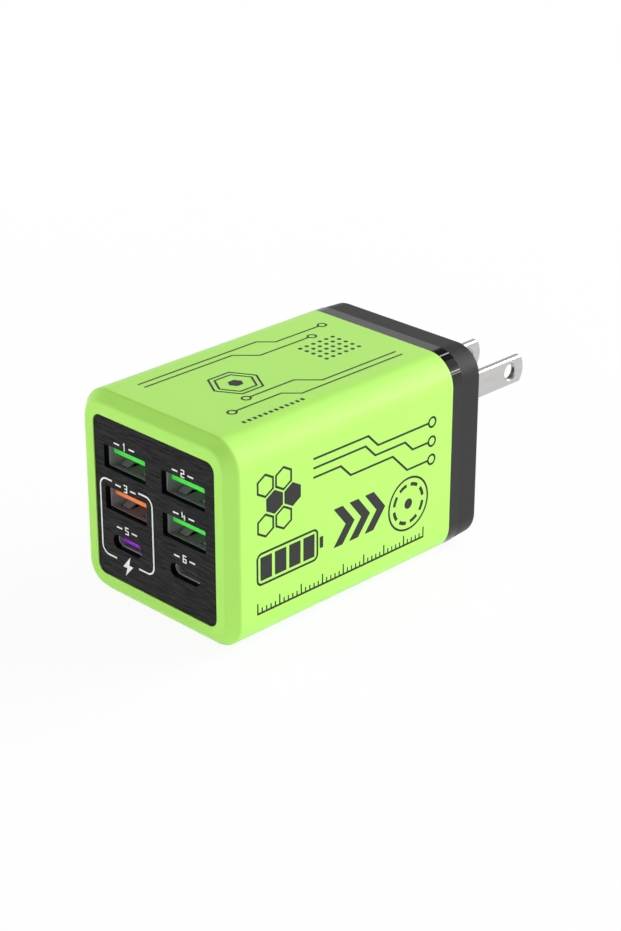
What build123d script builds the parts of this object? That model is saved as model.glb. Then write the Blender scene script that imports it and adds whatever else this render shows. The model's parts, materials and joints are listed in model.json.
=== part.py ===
from build123d import *
import os

# Desktop and wall charger with four type A and two type C outlets on its front face.
# Millimetres, +Z up, outlets face -Y, plug blades leave along +Y.
# The origin is the middle of the base face of the closed body.

# Closed body
housing_width = 47.0
housing_height = 47.0
housing_length = 65.5
housing_wall = 2.2
corner_radius = 7.0
front_bevel = 2.3
front_bevel_rounding = 1.0
cap_length = 9.5
cap_band_length = 3.1
cap_wall = 1.8
cap_rear_wall = 3.0
cap_step = 0.12
cap_taper = 0.35
cap_edge_radius = 0.8
spigot_length = 4.0
spigot_wall = 1.6
spigot_clearance = 0.1

# Front panel and the seat that it is bonded into
panel_rim = 5.0
panel_radius = 2.2
panel_thickness = 1.3
panel_inset = 0.2
panel_clearance = 0.08
panel_ledge_width = 1.6
panel_ledge_thickness = 1.2

# Outlet places on the panel
outlet_side_margin = 3.0
outlet_row_pitch = 9.55
outlet_front_gap = 0.1

# Type A outlet
a_cutout_width = 13.0
a_cutout_height = 5.3
a_cutout_radius = 0.35
a_inner_width = 12.5
a_inner_height = 5.12
a_depth = 10.0
a_tongue_width = 10.9
a_tongue_thickness = 1.65
a_tongue_floor_gap = 2.85
a_tongue_recess = 0.5
a_block_length = 2.5
a_contact_count = 4
a_contact_width = 1.0
a_contact_pitch = 2.3
a_contact_recess = 0.9
leaf_pitch = 7.1
leaf_width = 2.3
leaf_start = 1.6
leaf_crest = 1.7
leaf_length = 4.4
leaf_rise = 0.7
leaf_slot = 0.45

# Type C outlet
c_cutout_width = 9.1
c_cutout_height = 3.2
c_inner_width = 8.34
c_inner_height = 2.56
c_tongue_width = 6.69
c_tongue_thickness = 0.95
c_tongue_recess = 0.35
c_block_length = 3.0
c_contact_count = 6
c_contact_width = 0.3
c_contact_pitch = 0.95
c_contact_recess = 0.8
contact_thickness = 0.15
shell_sheet = 0.3
seat_gap = 0.05

# Plug blades, their block and their leads
blade_width = 6.35
blade_thickness = 1.5
blade_length = 18.0
blade_pitch = 12.7
blade_tip_bulge = 1.1
blade_tip_corner = 0.6
blade_bevel_height = 0.4
blade_bevel_depth = 0.25
blade_hole_diameter = 3.6
blade_hole_chamfer = 0.3
blade_hole_from_tip = 4.6
blade_side_margin = 3.15
blade_top_margin = 7.4
blade_shoulder_height = 8.6
blade_shoulder_length = 2.0
blade_tail_height = 3.0
blade_tail_length = 1.0
plug_block_length = 5.0
plug_block_border = 0.8
lead_diameter = 1.8
lead_bend_radius = 2.3
lead_drop = 8.0
lead_pad_inset = 3.5
lead_strip = 3.0

# Boards and the rails that hold the main one
board_thickness = 1.6
board_side_gap = 0.15
board_end_gap = 0.3
rail_depth = 1.5
rail_height = 1.2
rail_gap = 0.1
port_board_side_gap = 0.3
port_board_end_gap = 1.8
port_board_radius = 4.5
sheet_thickness = 0.4
sheet_side_gap = 1.0

# Link between the two boards
link_clearance = 0.57
header_end = 0.4
header_size = 2.5
pin_count = 8
pin_size = 0.64
pin_pitch = 2.4
pin_reach = 1.0

# Parts on the boards
output_can_count = 3
output_can_diameter = 6.0
output_can_height = 11.0
can_edge_radius = 0.5
can_groove = 0.3
can_groove_height = 1.6
bulk_can_count = 2
bulk_can_diameter = 9.0
bulk_can_height = 20.0
core_width = 16.0
core_depth = 9.0
core_plate = 3.5
core_leg_width = 3.2
core_centre_width = 4.4
core_window = 11.0
bobbin_base = 3.0
bobbin_depth = 15.0
bobbin_wall = 0.8
winding_clearance = 0.1
choke_outer_diameter = 12.0
choke_inner_diameter = 6.4
choke_depth = 4.4
choke_wire = 0.8
choke_sector = 110.0
choke_base_width = 5.0
choke_base_height = 2.0
choke_seat = 0.8
filter_width = 12.0
filter_depth = 5.5
filter_height = 11.0
filter_radius = 0.6
fuse_length = 10.0
fuse_size = 3.6
fuse_end_length = 2.2
fuse_end_lip = 0.2
disc_diameter = 7.0
disc_thickness = 3.0
disc_lead_diameter = 0.8
disc_lead_length = 2.0
disc_lead_spacing = 5.0
sink_thickness = 1.2
sink_length = 24.0
sink_height = 18.0
package_thickness = 3.0
package_width = 10.0
package_height = 12.0
package_gap = 2.0
chip_width = 5.0
chip_depth = 4.0
chip_height = 1.4
inductor_size = 7.0
inductor_height = 3.6
inductor_radius = 0.8

# Places that follow from the sizes
body_length = housing_length + cap_length
front_y = -body_length / 2
seam_y = front_y + housing_length
band_y = seam_y + cap_band_length
rear_y = front_y + body_length
mid_z = housing_height / 2
inner_width = housing_width - 2 * housing_wall
inner_height = housing_height - 2 * housing_wall
inner_radius = corner_radius - housing_wall

panel_width = housing_width - 2 * panel_rim
panel_height = housing_height - 2 * panel_rim
panel_front_y = front_y + panel_inset
panel_back_y = panel_front_y + panel_thickness
ledge_back_y = panel_back_y + panel_ledge_thickness

shell_front_y = panel_back_y + outlet_front_gap
port_front_y = shell_front_y + a_depth
port_back_y = port_front_y + board_thickness
column_x = panel_width / 2 - outlet_side_margin - a_cutout_width / 2
columns = (-column_x, column_x)
rows = (mid_z + outlet_row_pitch, mid_z, mid_z - outlet_row_pitch)

spigot_y = seam_y - spigot_length
board_rear_y = spigot_y - board_end_gap
board_top_z = rows[2] - c_inner_height / 2 - shell_sheet - link_clearance - header_size
board_bottom_z = board_top_z - board_thickness
corner_drop = max(housing_wall + inner_radius - board_bottom_z, 0.0)
corner_narrowing = inner_radius - (inner_radius ** 2 - corner_drop ** 2) ** 0.5
board_width = inner_width - 2 * (board_side_gap + corner_narrowing)
clear_half = inner_width / 2 - rail_depth

rear_inner_y = rear_y - cap_rear_wall
right_blade_x = housing_width / 2 - blade_side_margin - blade_thickness / 2
left_blade_x = right_blade_x - blade_pitch
blade_z = housing_height - blade_top_margin - blade_width / 2
block_front_y = rear_inner_y - plug_block_length
tail_y = block_front_y - blade_tail_length


# Shapes that are used again

def prism(sketch, y_low, y_high, x=0.0, z=0.0):
    plane = Plane(origin=(x, y_high, z), x_dir=(1, 0, 0), z_dir=(0, -1, 0))
    return extrude(plane * sketch, y_high - y_low)


def block(x_low, x_high, y_low, y_high, z_low, z_high):
    corner = Pos((x_low + x_high) / 2, (y_low + y_high) / 2, (z_low + z_high) / 2)
    return corner * Box(x_high - x_low, y_high - y_low, z_high - z_low)


def side_plate(points, x_low, x_high):
    outline = make_face(Polyline([(0, y, z) for y, z in points], close=True))
    return extrude(Pos(x_low, 0, 0) * outline, x_high - x_low, dir=(1, 0, 0))


def spread(sizes, low, high):
    gap = (high - low - sum(sizes)) / (len(sizes) + 1)
    places = []
    edge = low
    for size in sizes:
        places.append(edge + gap + size / 2)
        edge += gap + size
    return places


def spaced(count, pitch):
    return [(k - (count - 1) / 2) * pitch for k in range(count)]


def can(diameter, height):
    body = Pos(0, 0, height / 2) * Cylinder(diameter / 2, height)
    body = fillet(body.edges().sort_by(Axis.Z)[-1], can_edge_radius)
    ring = Cylinder(diameter, can_groove) - Cylinder(diameter / 2 - can_groove, can_groove)
    return body - Pos(0, 0, can_groove_height) * ring


def disc_on_leads(diameter, thickness):
    disc = Pos(0, 0, disc_lead_length + diameter / 2) * Rot(90, 0, 0) * Cylinder(diameter / 2, thickness)
    reach = disc_lead_length + diameter / 2
    for x in (-disc_lead_spacing / 2, disc_lead_spacing / 2):
        disc += Pos(x, 0, reach / 2) * Cylinder(disc_lead_diameter / 2, reach)
    return disc


parts = {}

# Main housing: square tube with a bevelled front rim, a seat for the panel and two pairs of board rails
shell = prism(RectangleRounded(housing_width, housing_height, corner_radius), front_y, seam_y, z=mid_z)
shell = chamfer(shell.edges().group_by(Axis.Y)[0], front_bevel)
bevel_edges = shell.edges().group_by(Axis.Y)
shell = fillet(bevel_edges[0] + bevel_edges[2], front_bevel_rounding)
shell -= prism(RectangleRounded(inner_width, inner_height, inner_radius), ledge_back_y, seam_y, z=mid_z)
shell -= prism(
    RectangleRounded(
        panel_width + 2 * panel_clearance, panel_height + 2 * panel_clearance, panel_radius + panel_clearance
    ),
    front_y, panel_back_y, z=mid_z,
)
window_width = panel_width - 2 * panel_ledge_width
window_height = panel_height - 2 * panel_ledge_width
shell -= prism(
    RectangleRounded(window_width, window_height, panel_radius),
    front_y, ledge_back_y, z=mid_z,
)
for side in (-1, 1):
    rail_x = sorted((side * clear_half, side * (inner_width / 2 + housing_wall / 2)))
    for rail_z in (board_bottom_z - rail_height, board_top_z + rail_gap):
        shell += block(*rail_x, ledge_back_y, spigot_y, rail_z, rail_z + rail_height)
parts["main_housing"] = shell

# Front panel: flat plate with one cut-out for each outlet
panel = prism(RectangleRounded(panel_width, panel_height, panel_radius), panel_front_y, panel_back_y, z=mid_z)
a_cutout = RectangleRounded(a_cutout_width, a_cutout_height, a_cutout_radius)
c_cutout = SlotOverall(c_cutout_width, c_cutout_height)
for column in columns:
    for row in rows[:2]:
        panel -= prism(a_cutout, panel_front_y, panel_back_y, column, row)
    panel -= prism(c_cutout, panel_front_y, panel_back_y, column, rows[2])
parts["front_panel"] = panel

# Rear cap: polished band, tapered end, spigot into the housing and two blade slots
cap = prism(RectangleRounded(housing_width, housing_height, corner_radius), seam_y, band_y, z=mid_z)
taper_sections = []
for inset, y in ((cap_step, band_y), (cap_step + cap_taper, rear_y)):
    section = RectangleRounded(housing_width - 2 * inset, housing_height - 2 * inset, corner_radius - inset)
    taper_sections.append(Plane(origin=(0, y, mid_z), x_dir=(1, 0, 0), z_dir=(0, -1, 0)) * section)
tapered_end = loft(taper_sections, ruled=True)
tapered_end = fillet(tapered_end.edges().group_by(Axis.Y)[-1], cap_edge_radius)
cap += tapered_end
cavity_inset = cap_wall + cap_step + cap_taper
cavity_radius = max(corner_radius - cavity_inset, cap_edge_radius)
cavity_width = housing_width - 2 * cavity_inset
cavity_height = housing_height - 2 * cavity_inset
cap -= prism(
    RectangleRounded(cavity_width, cavity_height, cavity_radius), seam_y + spigot_wall, rear_inner_y, z=mid_z
)
spigot_width = inner_width - 2 * spigot_clearance
spigot_height = inner_height - 2 * spigot_clearance
cap += prism(
    RectangleRounded(spigot_width, spigot_height, inner_radius - spigot_clearance), spigot_y, seam_y, z=mid_z
)
mouth_radius = max(inner_radius - spigot_clearance - spigot_wall, cap_edge_radius)
cap -= prism(
    RectangleRounded(spigot_width - 2 * spigot_wall, spigot_height - 2 * spigot_wall, mouth_radius),
    spigot_y, seam_y + spigot_wall, z=mid_z,
)
block_right_x = cavity_width / 2 - seat_gap
block_left_x = left_blade_x - blade_thickness / 2 - seat_gap - plug_block_border - blade_thickness
block_low_z = blade_z - blade_shoulder_height / 2 - seat_gap - plug_block_border
block_high_z = blade_z + blade_shoulder_height / 2 + seat_gap
cap -= block(
    clear_half - lead_diameter, spigot_width / 2 + spigot_clearance,
    spigot_y, seam_y + spigot_wall, block_low_z - seat_gap, block_high_z + seat_gap,
)
blade_places = {"left": left_blade_x, "right": right_blade_x}
slot_half = blade_thickness / 2 + seat_gap
slot_rise = blade_width / 2 + seat_gap
for blade_x in blade_places.values():
    cap -= block(
        blade_x - slot_half, blade_x + slot_half, rear_inner_y, rear_y,
        blade_z - slot_rise, blade_z + slot_rise,
    )
parts["rear_cap"] = cap

# Plug blades: bulged tip with a countersunk detent hole, a shoulder behind the cap and a solder tail
tip_y = rear_y + blade_length
tip_start_y = tip_y - blade_tip_bulge
tip_radius = (blade_width ** 2 / 4 + blade_tip_bulge ** 2) / (2 * blade_tip_bulge)
hole_y = tip_y - blade_hole_from_tip
hole_radius = blade_hole_diameter / 2
countersink = Cone(hole_radius, hole_radius + blade_hole_chamfer, blade_hole_chamfer)
for side, blade_x in blade_places.items():
    x_low = blade_x - blade_thickness / 2
    x_high = blade_x + blade_thickness / 2
    z_low = blade_z - blade_width / 2
    z_high = blade_z + blade_width / 2
    tip_round = Rot(0, 90, 0) * Cylinder(tip_radius, blade_thickness)
    blade = block(x_low, x_high, tip_start_y, tip_y, z_low, z_high)
    blade &= Pos(blade_x, tip_y - tip_radius, blade_z) * tip_round
    blade += block(x_low, x_high, rear_y, tip_start_y, z_low, z_high)
    across = blade.edges().filter_by(Axis.X)
    tip_corners = [edge for edge in across if edge.center().Y > rear_y + blade_tip_bulge]
    blade = fillet(tip_corners, blade_tip_corner)
    for end in (0, -1):
        broad_face = blade.faces().sort_by(Axis.X)[end]
        rim = [edge for edge in broad_face.edges() if edge.center().Y > rear_y + blade_bevel_height]
        blade = chamfer(rim, blade_bevel_height, blade_bevel_depth, reference=broad_face)
    blade += block(x_low, x_high, rear_inner_y, rear_y, z_low, z_high)
    blade += block(
        x_low, x_high, rear_inner_y - blade_shoulder_length, rear_inner_y,
        blade_z - blade_shoulder_height / 2, blade_z + blade_shoulder_height / 2,
    )
    blade += block(
        x_low, x_high, tail_y, rear_inner_y - blade_shoulder_length,
        blade_z - blade_tail_height / 2, blade_z + blade_tail_height / 2,
    )
    blade -= Pos(blade_x, hole_y, blade_z) * Rot(0, 90, 0) * Cylinder(hole_radius, 2 * blade_thickness)
    countersink_x = (blade_thickness - blade_hole_chamfer) / 2
    for turn in (-1, 1):
        blade -= Pos(blade_x + turn * countersink_x, hole_y, blade_z) * Rot(0, turn * 90, 0) * countersink
    parts["blade_" + side] = blade

# Plug block: moulded piece that traps both blade shoulders against the rear wall
plug_block = block(block_left_x, block_right_x, block_front_y, rear_inner_y, block_low_z, block_high_z)
plug_block &= prism(
    RectangleRounded(cavity_width - 2 * seat_gap, cavity_height - 2 * seat_gap, cavity_radius),
    block_front_y, rear_inner_y, z=mid_z,
)
shoulder_rise = blade_shoulder_height / 2 + seat_gap
tail_rise = blade_tail_height / 2 + seat_gap
for blade_x in blade_places.values():
    plug_block -= block(
        blade_x - slot_half, blade_x + slot_half, rear_inner_y - blade_shoulder_length, rear_inner_y,
        blade_z - shoulder_rise, blade_z + shoulder_rise,
    )
    plug_block -= block(
        blade_x - slot_half, blade_x + slot_half, block_front_y, rear_inner_y - blade_shoulder_length,
        blade_z - tail_rise, blade_z + tail_rise,
    )
parts["plug_block"] = plug_block

# Mains leads: insulated wires from the blade tails down to the rear edge of the main board
lead_y = board_rear_y - lead_strip / 2
right_pad_x = board_width / 2 - lead_pad_inset
for side, pad_x in {"left": left_blade_x - lead_pad_inset, "right": right_pad_x}.items():
    blade_x = blade_places[side]
    route = FilletPolyline(
        (blade_x, tail_y, blade_z),
        (blade_x, lead_y, blade_z),
        (pad_x, lead_y, blade_z - lead_drop),
        (pad_x, lead_y, board_top_z),
        radius=lead_bend_radius,
    )
    start = Plane(origin=route @ 0, z_dir=route % 0)
    parts["lead_" + side] = sweep(start * Circle(lead_diameter / 2), path=route)

# Main board, carried by the housing rails
parts["main_board"] = block(
    -board_width / 2, board_width / 2, port_back_y, board_rear_y, board_bottom_z, board_top_z
)

# Port board, upright behind the outlets, with holes for the link pins
port_width = 2 * (clear_half - port_board_side_gap)
port_height = inner_height - 2 * port_board_end_gap
port_outline = RectangleRounded(port_width, port_height, port_board_radius)
port_board = prism(port_outline, port_front_y, port_back_y, z=mid_z)
header_length = pin_count * pin_pitch + 2 * header_end
header_z = board_top_z + header_size / 2
pin_xs = spaced(pin_count, pin_pitch)
for pin_x in pin_xs:
    hole = RectangleRounded(pin_size + 2 * seat_gap, pin_size + 2 * seat_gap, seat_gap)
    port_board -= prism(hole, port_front_y, port_back_y, pin_x, header_z)
parts["port_board"] = port_board

# Link header: block on the main board with pins through the port board
header = block(
    -header_length / 2, header_length / 2, port_back_y, port_back_y + header_size,
    board_top_z, board_top_z + header_size,
)
pins = []
for pin_x in pin_xs:
    pin_half = pin_size / 2
    header -= block(
        pin_x - pin_half - seat_gap, pin_x + pin_half + seat_gap, port_back_y, port_back_y + header_size,
        header_z - pin_half - seat_gap, header_z + pin_half + seat_gap,
    )
    pins.append(block(
        pin_x - pin_half, pin_x + pin_half, port_front_y - pin_reach, port_back_y + header_size,
        header_z - pin_half, header_z + pin_half,
    ))
parts["link_header"] = header
parts["link_pins"] = Compound(children=pins)

# Insulating sheet on the floor of the housing, below the main board
sheet_half = inner_width / 2 - inner_radius - sheet_side_gap
parts["insulating_sheet"] = block(
    -sheet_half, sheet_half, port_back_y, board_rear_y, housing_wall, housing_wall + sheet_thickness
)

# Type A outlet, built about the middle of its mouth
a_outer_width = a_inner_width + 2 * shell_sheet
a_outer_height = a_inner_height + 2 * shell_sheet
a_floor_z = -a_inner_height / 2
a_shell = prism(RectangleRounded(a_outer_width, a_outer_height, 2 * shell_sheet), shell_front_y, port_front_y)
a_shell -= prism(RectangleRounded(a_inner_width, a_inner_height, shell_sheet), shell_front_y, port_front_y)
leaf_y = shell_front_y + leaf_start
leaf_root_y = leaf_y + leaf_length
leaf_crest_y = leaf_y + leaf_crest
a_under_z = a_floor_z - shell_sheet
leaf_outline = [
    (leaf_y, a_under_z),
    (leaf_crest_y, a_under_z + leaf_rise),
    (leaf_root_y, a_under_z),
    (leaf_root_y, a_floor_z),
    (leaf_crest_y, a_floor_z + leaf_rise),
    (leaf_y, a_floor_z),
]
leaf_half = leaf_width / 2
for leaf_x in (-leaf_pitch / 2, leaf_pitch / 2):
    a_shell -= block(
        leaf_x - leaf_half - leaf_slot, leaf_x + leaf_half + leaf_slot, leaf_y - leaf_slot, leaf_root_y,
        a_under_z, a_floor_z,
    )
    a_shell += side_plate(leaf_outline, leaf_x - leaf_half, leaf_x + leaf_half)
tongue_low_z = a_floor_z + a_tongue_floor_gap
a_block_y = port_front_y - a_block_length
a_tongue = block(
    -a_tongue_width / 2, a_tongue_width / 2, shell_front_y + a_tongue_recess, a_block_y,
    tongue_low_z, tongue_low_z + a_tongue_thickness,
)
a_block = RectangleRounded(a_inner_width - 2 * seat_gap, a_inner_height - 2 * seat_gap, shell_sheet)
a_tongue += prism(a_block, a_block_y, port_front_y)
a_contacts = []
a_strip_y = shell_front_y + a_tongue_recess + a_contact_recess
a_strip_z = (tongue_low_z, tongue_low_z + contact_thickness)
for contact_x in spaced(a_contact_count, a_contact_pitch):
    half = a_contact_width / 2
    a_tongue -= block(
        contact_x - half - seat_gap, contact_x + half + seat_gap,
        a_strip_y - seat_gap, port_front_y, *a_strip_z,
    )
    a_contacts.append(block(contact_x - half, contact_x + half, a_strip_y, port_front_y, *a_strip_z))

# Type C outlet, built about the middle of its mouth
c_outer = SlotOverall(c_inner_width + 2 * shell_sheet, c_inner_height + 2 * shell_sheet)
c_shell = prism(c_outer, shell_front_y, port_front_y)
c_shell -= prism(SlotOverall(c_inner_width, c_inner_height), shell_front_y, port_front_y)
c_block_y = port_front_y - c_block_length
c_tongue_y = shell_front_y + c_tongue_recess
c_half = c_tongue_thickness / 2
c_tongue = block(-c_tongue_width / 2, c_tongue_width / 2, c_tongue_y, c_block_y, -c_half, c_half)
c_block = SlotOverall(c_inner_width - 2 * seat_gap, c_inner_height - 2 * seat_gap)
c_tongue += prism(c_block, c_block_y, port_front_y)
c_contacts = []
c_strip_y = c_tongue_y + c_contact_recess
for contact_x in spaced(c_contact_count, c_contact_pitch):
    half = c_contact_width / 2
    for strip_z in ((c_half - contact_thickness, c_half), (-c_half, contact_thickness - c_half)):
        c_tongue -= block(
            contact_x - half - seat_gap, contact_x + half + seat_gap,
            c_strip_y - seat_gap, port_front_y, *strip_z,
        )
        c_contacts.append(block(contact_x - half, contact_x + half, c_strip_y, port_front_y, *strip_z))

# Each outlet in its place: type A in the two upper rows, type C in the lowest
a_places = [(column, row) for row in rows[:2] for column in columns]
c_places = [(column, rows[2]) for column in columns]
outlets = (
    ("type_a", a_places, a_shell, a_tongue, a_contacts),
    ("type_c", c_places, c_shell, c_tongue, c_contacts),
)
for kind, places, outlet_shell, outlet_tongue, outlet_contacts in outlets:
    for number, (x, z) in enumerate(places, start=1):
        place = Pos(x, 0, z)
        parts[f"{kind}_shell_{number}"] = place * outlet_shell
        parts[f"{kind}_tongue_{number}"] = place * outlet_tongue
        parts[f"{kind}_contacts_{number}"] = Compound(children=[place * strip for strip in outlet_contacts])

# Layout of the main board: output cans in front, then two columns with the heat sink between them
parts_front_y = port_back_y + header_size
parts_rear_y = board_rear_y - lead_strip
column_widths = (core_width, sink_thickness + package_thickness, filter_width)
left_x, sink_column_x, right_x = spread(column_widths, -clear_half, clear_half)
choke_thickness = choke_depth + 2 * choke_wire
left_depths = (output_can_diameter, bobbin_depth, choke_thickness, fuse_size + 2 * fuse_end_lip)
right_depths = (output_can_diameter, *[bulk_can_diameter] * bulk_can_count, filter_depth, disc_thickness)
can_y, transformer_y, choke_y, fuse_y = spread(left_depths, parts_front_y, parts_rear_y)
right_ys = spread(right_depths, parts_front_y, parts_rear_y)
filter_y = right_ys[-2]
thermistor_y = right_ys[-1]

# Output cans in a row behind the link header
output_xs = spread([output_can_diameter] * output_can_count, -clear_half, clear_half)
for number, x in enumerate(output_xs, start=1):
    parts[f"output_can_{number}"] = Pos(x, can_y, board_top_z) * can(output_can_diameter, output_can_height)

# Bulk cans one behind the other
for number, y in enumerate(right_ys[1:1 + bulk_can_count], start=1):
    parts[f"bulk_can_{number}"] = Pos(right_x, y, board_top_z) * can(bulk_can_diameter, bulk_can_height)

# Transformer: bobbin on the board, winding on the bobbin and two ferrite halves that meet in the middle
core_low_z = board_top_z + bobbin_base
window_low_z = core_low_z + core_plate
window_high_z = window_low_z + core_window
core_middle_z = (window_low_z + window_high_z) / 2
core_left = left_x - core_width / 2
core_right = left_x + core_width / 2
core_front = transformer_y - core_depth / 2
core_back = transformer_y + core_depth / 2
leg_spans = (
    (core_left, core_left + core_leg_width),
    (left_x - core_centre_width / 2, left_x + core_centre_width / 2),
    (core_right - core_leg_width, core_right),
)
core_halves = {
    "lower": (core_low_z, window_low_z, core_middle_z),
    "upper": (window_high_z + core_plate, window_high_z, core_middle_z),
}
for half_name, (outer_z, plate_z, meet_z) in core_halves.items():
    core = block(core_left, core_right, core_front, core_back, *sorted((outer_z, plate_z)))
    for x_low, x_high in leg_spans:
        core += block(x_low, x_high, core_front, core_back, *sorted((plate_z, meet_z)))
    parts["transformer_core_" + half_name] = core

tube_half_x = core_centre_width / 2 + seat_gap + bobbin_wall
tube_half_y = core_depth / 2 + seat_gap + bobbin_wall
flange_half_x = core_width / 2 - core_leg_width - seat_gap
flange_half_y = bobbin_depth / 2
flange_low_z = window_low_z + seat_gap
flange_high_z = window_high_z - seat_gap
centre_hole = block(
    left_x - core_centre_width / 2 - seat_gap, left_x + core_centre_width / 2 + seat_gap,
    core_front - seat_gap, core_back + seat_gap, flange_low_z, flange_high_z,
)
flange_ys = (transformer_y - flange_half_y, transformer_y + flange_half_y)
bobbin = block(core_left, core_right, *flange_ys, board_top_z, core_low_z)
for wall_y in (-1, 1):
    inner_wall_y = transformer_y + wall_y * (core_depth / 2 + seat_gap)
    wall_span = sorted((inner_wall_y, transformer_y + wall_y * flange_half_y))
    bobbin += block(
        left_x - flange_half_x, left_x + flange_half_x, *wall_span, core_low_z, flange_low_z + bobbin_wall
    )
bobbin += block(
    left_x - tube_half_x, left_x + tube_half_x, transformer_y - tube_half_y, transformer_y + tube_half_y,
    flange_low_z, flange_high_z,
)
for flange_z in (flange_low_z, flange_high_z - bobbin_wall):
    bobbin += block(
        left_x - flange_half_x, left_x + flange_half_x, *flange_ys, flange_z, flange_z + bobbin_wall
    )
parts["transformer_bobbin"] = bobbin - centre_hole

winding_low_z = flange_low_z + bobbin_wall
winding_high_z = flange_high_z - bobbin_wall
winding_half_x = flange_half_x - winding_clearance
winding_half_y = flange_half_y - winding_clearance
winding = block(
    left_x - winding_half_x, left_x + winding_half_x,
    transformer_y - winding_half_y, transformer_y + winding_half_y, winding_low_z, winding_high_z,
)
winding = fillet(winding.edges().filter_by(Axis.Z), bobbin_wall)
winding -= block(
    left_x - tube_half_x, left_x + tube_half_x, transformer_y - tube_half_y, transformer_y + tube_half_y,
    winding_low_z, winding_high_z,
)
parts["transformer_winding"] = winding

# Mains choke: upright ring in a cradle, with one winding on each side
choke_radius = choke_outer_diameter / 2
choke_z = board_top_z + choke_base_height - choke_seat + choke_radius
choke_place = Pos(left_x, choke_y, choke_z) * Rot(90, 0, 0)
ring = Cylinder(choke_radius, choke_depth) - Cylinder(choke_inner_diameter / 2, choke_depth)
parts["choke_core"] = choke_place * ring
sleeve_low = choke_inner_diameter / 2 - choke_wire
sleeve_high = choke_radius + choke_wire
sleeve_half = choke_depth / 2 + choke_wire
section = Pos((sleeve_low + sleeve_high) / 2, 0) * Rectangle(sleeve_high - sleeve_low, 2 * sleeve_half)
section -= Pos((choke_inner_diameter / 2 + choke_radius) / 2, 0) * Rectangle(
    choke_radius - choke_inner_diameter / 2 + 2 * seat_gap, choke_depth + 2 * seat_gap
)
sleeve = Rot(0, 0, -choke_sector / 2) * revolve(Plane.XZ * section, Axis.Z, choke_sector)
parts["choke_winding"] = Compound(
    children=[choke_place * sleeve, choke_place * Rot(0, 0, 180) * sleeve]
)
cradle = block(
    left_x - choke_base_width / 2, left_x + choke_base_width / 2,
    choke_y - choke_thickness / 2, choke_y + choke_thickness / 2,
    board_top_z, board_top_z + choke_base_height,
)
parts["choke_cradle"] = cradle - choke_place * Cylinder(choke_radius, choke_thickness)

# Mains filter box, fuse and thermistor
filter_box = block(
    right_x - filter_width / 2, right_x + filter_width / 2,
    filter_y - filter_depth / 2, filter_y + filter_depth / 2,
    board_top_z, board_top_z + filter_height,
)
filter_edges = filter_box.edges().filter_by(Axis.Z) + filter_box.faces().sort_by(Axis.Z)[-1].edges()
parts["filter_box"] = fillet(filter_edges, filter_radius)

fuse = block(
    left_x - fuse_length / 2, left_x + fuse_length / 2, fuse_y - fuse_size / 2, fuse_y + fuse_size / 2,
    board_top_z + fuse_end_lip, board_top_z + fuse_end_lip + fuse_size,
)
for end in (-1, 1):
    end_span = sorted((left_x + end * fuse_length / 2, left_x + end * (fuse_length / 2 - fuse_end_length)))
    fuse += block(
        *end_span, fuse_y - fuse_size / 2 - fuse_end_lip, fuse_y + fuse_size / 2 + fuse_end_lip,
        board_top_z, board_top_z + fuse_size + 2 * fuse_end_lip,
    )
parts["fuse"] = fuse
parts["thermistor"] = Pos(right_x, thermistor_y, board_top_z) * disc_on_leads(disc_diameter, disc_thickness)

# Heat sink with the mains rectifier and the power switch against its face
sink_x = sink_column_x - package_thickness / 2
sink_front_y = parts_front_y + (can_y - parts_front_y) * 2
sink = block(
    sink_x - sink_thickness / 2, sink_x + sink_thickness / 2, sink_front_y, sink_front_y + sink_length,
    board_top_z, board_top_z + sink_height,
)
parts["heat_sink"] = sink
package_ys = spread([package_width] * 2, sink_front_y, sink_front_y + sink_length)
for name, y in zip(("power_switch", "bridge_rectifier"), package_ys):
    package_x = sink_x + sink_thickness / 2
    parts[name] = block(
        package_x, package_x + package_thickness, y - package_width / 2, y + package_width / 2,
        board_top_z + package_gap, board_top_z + package_gap + package_height,
    )

# Control chip below the main board
chip_y = (port_back_y + board_rear_y) / 2
parts["control_chip"] = block(
    -chip_width / 2, chip_width / 2, chip_y - chip_depth / 2, chip_y + chip_depth / 2,
    board_bottom_z - chip_height, board_bottom_z,
)

# Output inductors and outlet chips on the back of the port board
port_top_z = mid_z + port_height / 2
inductor_z, chip_z = spread((inductor_size, chip_depth), board_top_z + output_can_height, port_top_z)
for number, x in enumerate(columns, start=1):
    coil = block(
        x - inductor_size / 2, x + inductor_size / 2, port_back_y, port_back_y + inductor_height,
        inductor_z - inductor_size / 2, inductor_z + inductor_size / 2,
    )
    parts[f"output_inductor_{number}"] = fillet(coil.edges().filter_by(Axis.Y), inductor_radius)
    parts[f"outlet_chip_{number}"] = block(
        x - chip_width / 2, x + chip_width / 2, port_back_y, port_back_y + chip_height,
        chip_z - chip_depth / 2, chip_z + chip_depth / 2,
    )

os.makedirs("parts", exist_ok=True)
for name, shape in parts.items():
    export_step(shape, f"parts/{name}.step")
    print(name, round(shape.volume, 2))
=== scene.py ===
import bpy
import bmesh
import json
import math
from mathutils import Matrix, Vector


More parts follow.
